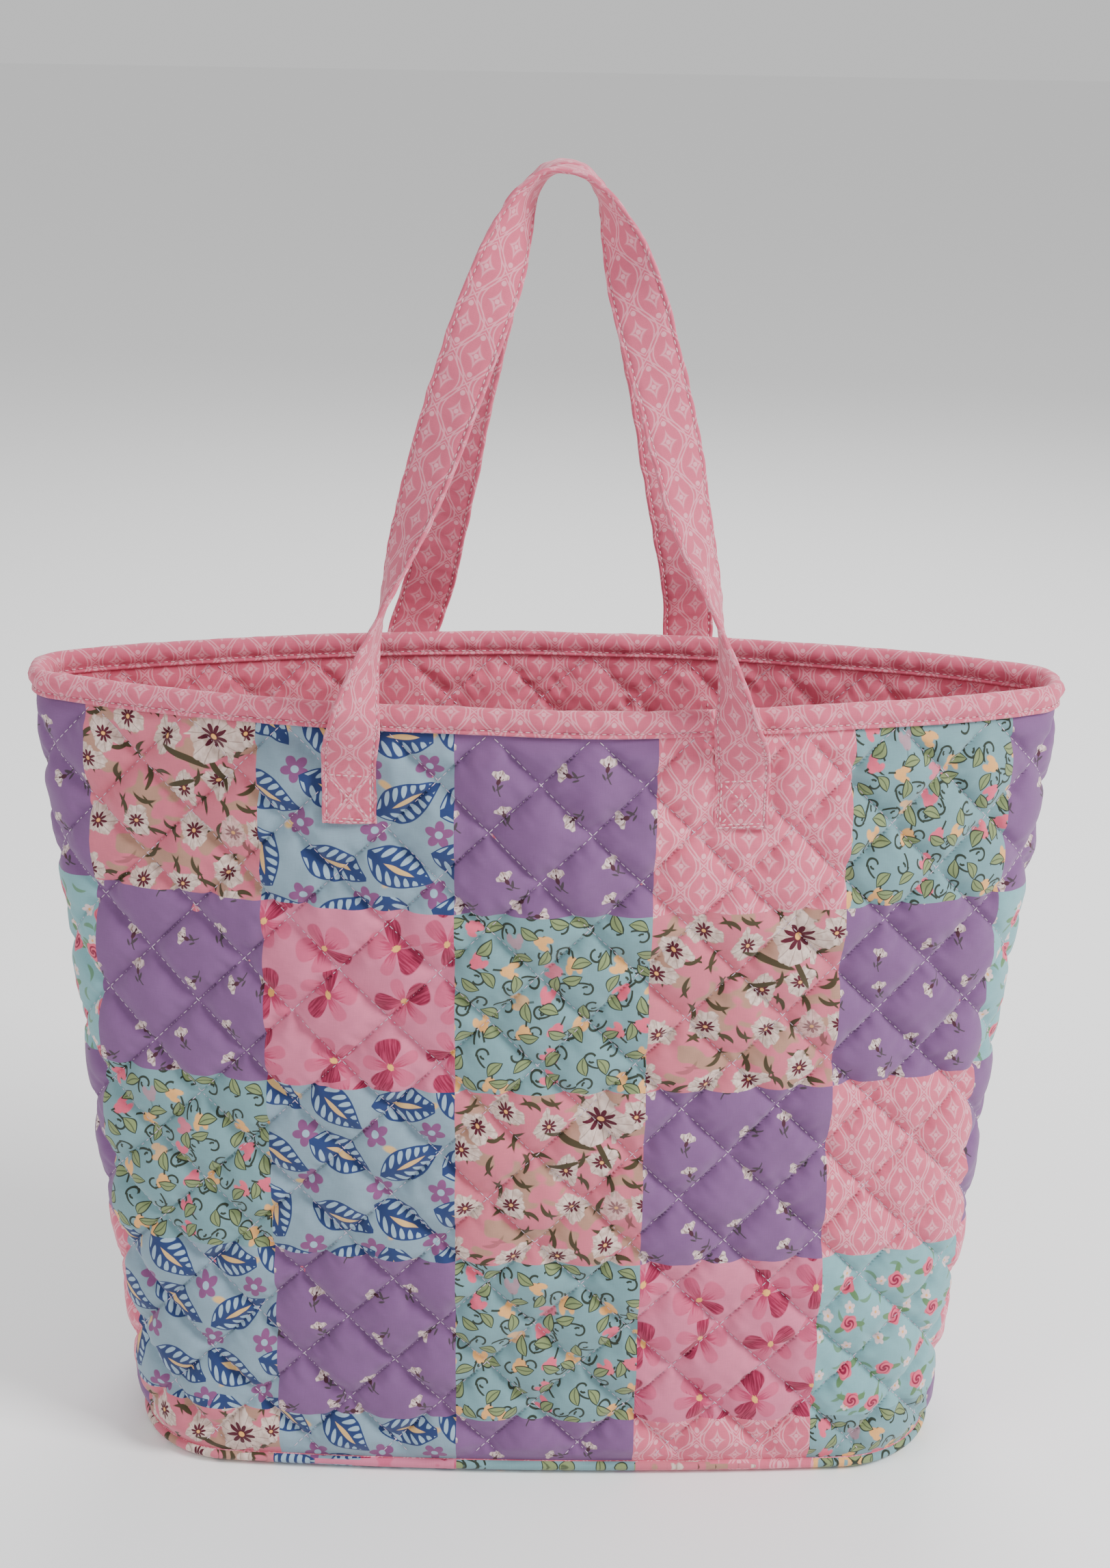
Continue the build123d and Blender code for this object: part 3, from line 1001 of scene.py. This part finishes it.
def rim_stitching():
    """The running stitch that holds the binding, outside and inside."""
    u = np.linspace(-0.995, 0.995, 700)
    z = np.full_like(u, BINDING_STITCH)
    runs = []
    for side in (-1, 1):
        for n, face in ((0.0008, 1), (-0.0054, -1)):
            places = off_wall(u, z, n + sag(u, z, side) + face * 0.0003, side, face)
            runs.append(runs_along(*places, TOPSTITCHED))
    stitch_piece("rim_stitching", runs, TOPSTITCHED, material=PINK_THREAD)


rim_stitching()


# ---- handles

# Each handle's right leg, up from its sewn end to the top. At each of these heights, in mm: how far out from
# the middle it is, how far in front of the bag's middle plane or behind it, and how far the strap has turned
# about its own line, in degrees. The front strap is also twisted half round on its way up.
LEG_HEIGHTS = (417, 430, 440, 450, 465, 485, 510, 540, 575, 620, 655, 680, 696, 704, 706)
LEGS = {-1: (
    (99.0, 66.2, 0), (98.0, 70.6, 12), (96.5, 75.2, 28), (94.5, 79.5, 44), (91.5, 77.0, 61),
    (86.5, 70.5, 82), (78.8, 63.2, 106), (69.0, 56.0, 133), (58.8, 47.0, 153), (44.7, 36.5, 173),
    (33.0, 29.0, 200), (24.0, 22.5, 236), (16.5, 17.5, 260), (8.5, 15.7, 269), (0.0, 15.5, 270)), 1: (
    (80.0, 68.6, 0), (79.2, 71.2, 0), (78.0, 73.8, 0), (76.5, 75.0, 0), (73.8, 72.5, 0),
    (69.7, 66.8, 4), (64.5, 60.3, 10), (57.8, 52.7, 16), (50.8, 44.5, 22), (40.0, 34.8, 34),
    (30.5, 27.7, 52), (22.8, 21.5, 72), (15.8, 17.2, 86), (8.3, 15.7, 90), (0.0, 15.5, 90))}
SPACING = 0.0012  # along a strap, between the points of its mesh
LEFT_LAG = 0.006  # how much higher up the left leg turns
LEAN = 0.006  # how far the handles' tops lean to the right
LEAN_FROM = {-1: (0.46, 0.24), 1: (0.425, 0.06)}  # the height where that starts, and over which rise


def smooth_line(values, places, at):
    """A smooth curve through values at places, read at others: cubic pieces with matched slopes."""
    slope = np.gradient(values, places, axis=0)
    k = np.clip(np.searchsorted(places, at) - 1, 0, len(places) - 2)
    gap = (places[k + 1] - places[k])[:, None]
    t = (at - places[k])[:, None] / gap
    return ((2 * t ** 3 - 3 * t ** 2 + 1) * values[k] + (t ** 3 - 2 * t ** 2 + t) * gap * slope[k]
            + (3 * t ** 2 - 2 * t ** 3) * values[k + 1] + (t ** 3 - t ** 2) * gap * slope[k + 1])


def strap_line(side):
    """Centre line, way of the width, and face of a strap, from its left sewn end over to its right one."""
    leg = [(z / MM, out / MM, off / MM, turn) for z, (out, off, turn) in zip(LEG_HEIGHTS, LEGS[side])]
    legs = []
    for hand in (-1, 1):
        x = STRAP_X[side]
        ends = [(z, x, -wall_point(u_at(x, z), z, STRAP_LIFT, -1)[1], 0)
                for z in (END_LOW, 0.398, 0.408)]
        rows = np.array(ends + leg)
        if hand < 0:
            rows[3:-1, 3] = np.interp(rows[3:-1, 0] - LEFT_LAG, rows[:, 0], rows[:, 3])
        points = np.stack([hand * rows[:, 1], side * rows[:, 2], rows[:, 0]], 1)
        legs.append((points, rows[:, 3]))
    left, right = legs
    points = np.concatenate([left[0], right[0][-2::-1]])
    twist = np.concatenate([left[1], right[1][-2::-1]])
    places = distances(points)
    at = np.linspace(0, places[-1], int(places[-1] / SPACING))
    line = smooth_line(points, places, at)
    turn = np.radians(smooth_line(twist[:, None], places, at)[:, 0])
    forward = unit(np.gradient(line, axis=0))
    hand = np.where(at < places[len(left[0]) - 1], -1.0, 1.0)[:, None]
    up = -forward * hand
    outward = unit(np.array([0, side, 0]) - (up[:, 1] * side)[:, None] * up)
    level = np.cross(up, outward) * -side
    width = hand * np.cos(turn)[:, None] * level + np.sin(turn)[:, None] * outward
    face = np.cross(forward, width) * -side
    low, rise = LEAN_FROM[side]
    line[:, 0] += LEAN * ease((line[:, 2] - low) / rise)
    return line, width, face, at


def strap_half_thickness(w, at, seed):
    """Half the strap's thickness at a place across it, -1 to 1: full between its two rows of stitching."""
    edge = np.clip(1 - np.abs(w), 0, 1) * STRAP_HALF
    groove = np.exp(-((edge - STRAP_STITCH) / 0.0008) ** 2)
    body = 0.00175 - 0.0004 * np.abs(w) ** 2
    rounding = np.sqrt(np.clip(1 - np.clip(1 - edge / 0.0012, 0, 1) ** 2, 0, 1))
    fine = swell(at, w * 0.006, seed, (0.006, 0.014)) * (0.00016 + 0.00022 * np.abs(w) ** 3)
    slow = swell(at, w * 0.010, seed + 1, (0.03, 0.07)) * 0.0002
    return (body + fine + slow - 0.0007 * groove) * np.maximum(rounding, 0.05)


def strap(name, side, nodes):
    """A handle with its two sewn ends, bent between the bag and the handle, and its topstitching."""
    line, width, face, at = strap_line(side)
    seed = 51 if side < 0 else 61

    def cupped(w, at):
        return swell(at, w * 0.004, seed + 5, (0.05, 0.12)) * 0.0006

    across = np.array([-1, -0.99, -0.965, -0.93, -0.87, -0.835, -0.8, -0.72, -0.55, -0.36, -0.18, 0,
                       0.18, 0.36, 0.55, 0.72, 0.8, 0.835, 0.87, 0.93, 0.965, 0.99, 1])
    w = np.concatenate([across, across[-2:0:-1]])
    top = np.concatenate([np.ones(len(across)), -np.ones(len(across) - 2)])
    a = at[:, None]
    edge_wave = 1 + swell(a, np.sign(w) * 0.3, seed + 3, (0.012, 0.03)) * 0.02 * np.abs(w) ** 3
    half = np.where(top > 0, strap_half_thickness(w, a, seed), -strap_half_thickness(w, a, seed + 7))
    middle = a - at[-1] / 2
    settle = ease((at[-1] / 2 - np.abs(middle) - 0.03) / 0.03)  # the sewn ends stay flat
    points = (line[:, None] + (w * edge_wave)[..., None] * STRAP_HALF * width[:, None]
              + (half + cupped(w, a) * settle)[..., None] * face[:, None])
    quads, flat = grid_faces(len(line), len(w), wrap_cols=True)
    v = np.concatenate([w, [w[0]]]) * STRAP_HALF
    v = np.where(np.concatenate([top, [1]]) < 0, BACK_PRINT - v, v)
    uv = np.stack([v + 0 * a, a + 0 * v], -1).reshape(-1, 2)
    caps = tube_caps(len(line), len(w))
    cap_uv = np.zeros((*caps.shape, 2))
    obj = piece(name, points.reshape(-1, 3), [quads, caps], [uv[flat], cap_uv], [STRAP_CLOTH], body=None)
    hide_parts(*nodes)
    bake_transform(obj)
    runs = []
    for hand in (-1, 1):
        for facing in (-1, 1):
            place = hand * (1 - STRAP_STITCH / STRAP_HALF)
            lift = strap_half_thickness(place, at, seed if facing > 0 else seed + 7) + 0.0001
            offset = facing * lift + cupped(place, at) * settle[:, 0]
            points = line + place * STRAP_HALF * width + offset[:, None] * face
            runs.append(runs_along(points[3:-3], facing * face[3:-3], TOPSTITCHED))
    threads = stitch_piece(name + "_topstitching", runs, TOPSTITCHED, body=None, material=PINK_THREAD)
    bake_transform(threads)


for word, side in SIDES:
    nodes = (f"handle_sleeve_{word}", f"handle_core_{word}",
             f"strap_end_{word}_left", f"strap_end_{word}_right")
    strap(f"strap_{word}", side, nodes)


def box_stitching(name, side, hand, node):
    """A box with a cross and a line under it, sewn through a strap end. It shows inside the bag too."""
    w, low, top = 0.0112, END_LOW + 0.0030, END_TOP - 0.0025
    corners = [(-w, low), (w, low), (w, top), (-w, top), (-w, low)]
    lines = list(zip(corners, corners[1:])) + [((-w, low), (w, top)), ((w, low), (-w, top))]
    lines.append(((-0.0130, low - 0.0016), (0.0130, low - 0.0016)))
    runs = []
    for (x0, z0), (x1, z1) in lines:
        t = np.linspace(0, 1, 60)
        x, z = hand * STRAP_X[side] + x0 + (x1 - x0) * t, z0 + (z1 - z0) * t
        u = u_at(x, z)
        for n, face in ((0.0041, 1), (-WALL - 0.0010, -1)):
            runs.append(runs_along(*off_wall(u, z, n, side, face), BOXED))
    stitch_piece(name, runs, BOXED, material=PINK_THREAD, nodes=(node,))


for word, side in SIDES:
    for hand_word, hand in (("left", -1), ("right", 1)):
        box_stitching(f"box_thread_{word}_{hand_word}", side, hand, f"box_stitching_{word}_{hand_word}")


# ---- floor, light and camera

FLOOR_HALF = 20
SKY_LIGHT = 0.72
LIGHTS = (  # name, place, the point it faces, size and watts
    ("left key", (-1.9, -1.3, 2.0), (0, 0, 0.25), 1.2, 20),
    ("right key", (2.0, -0.9, 2.0), (0, 0, 0.25), 0.9, 94),
    ("rear", (0.3, 1.9, 2.0), (0, 0, 0.4), 1.4, 34))

# The photograph's camera: focal length in pixels of its own height, place, and turns in radians.
FOCAL, IMAGE_HEIGHT, SENSOR = 3090, 2294, 36
CAMERA_PLACE = (-0.004, -1.0624, 0.7885)
PITCH, YAW, ROLL = 0.3624, -0.0087, -0.017


def stage():
    """A pale floor, an even pale sky and three soft lights."""
    floor, shader = new_shader("floor")
    feed(shader, {"Base Color": (0.93, 0.93, 0.93, 1), "Roughness": 0.9})
    mesh = bpy.data.meshes.new("floor")
    f = FLOOR_HALF
    mesh.from_pydata([(-f, -f, 0), (f, -f, 0), (f, f, 0), (-f, f, 0)], [], [(0, 1, 2, 3)])
    mesh.materials.append(floor)
    obj = placed("floor", mesh)
    world = bpy.context.scene.world or bpy.data.worlds.new("world")
    bpy.context.scene.world = world
    world.use_nodes = True
    feed(world.node_tree.nodes["Background"], {"Color": (1.0, 1.0, 1.0, 1), "Strength": SKY_LIGHT})
    for name, place, target, size, power in LIGHTS:
        light = bpy.data.lights.new(name, "AREA")
        light.size, light.energy = size, power
        lamp = placed(name, light)
        lamp.location = place
        lamp.rotation_euler = (Vector(target) - Vector(place)).to_track_quat("-Z", "Y").to_euler()


def set_camera():
    lens = bpy.data.cameras.new("camera")
    lens.lens = FOCAL / IMAGE_HEIGHT * SENSOR
    camera = placed("camera", lens)
    turn = (Matrix.Rotation(YAW, 4, "Z") @ Matrix.Rotation(math.pi / 2 - PITCH, 4, "X")
            @ Matrix.Rotation(-ROLL, 4, "Z"))
    camera.matrix_world = Matrix.Translation(CAMERA_PLACE) @ turn
    bpy.context.scene.camera = camera


stage()
set_camera()
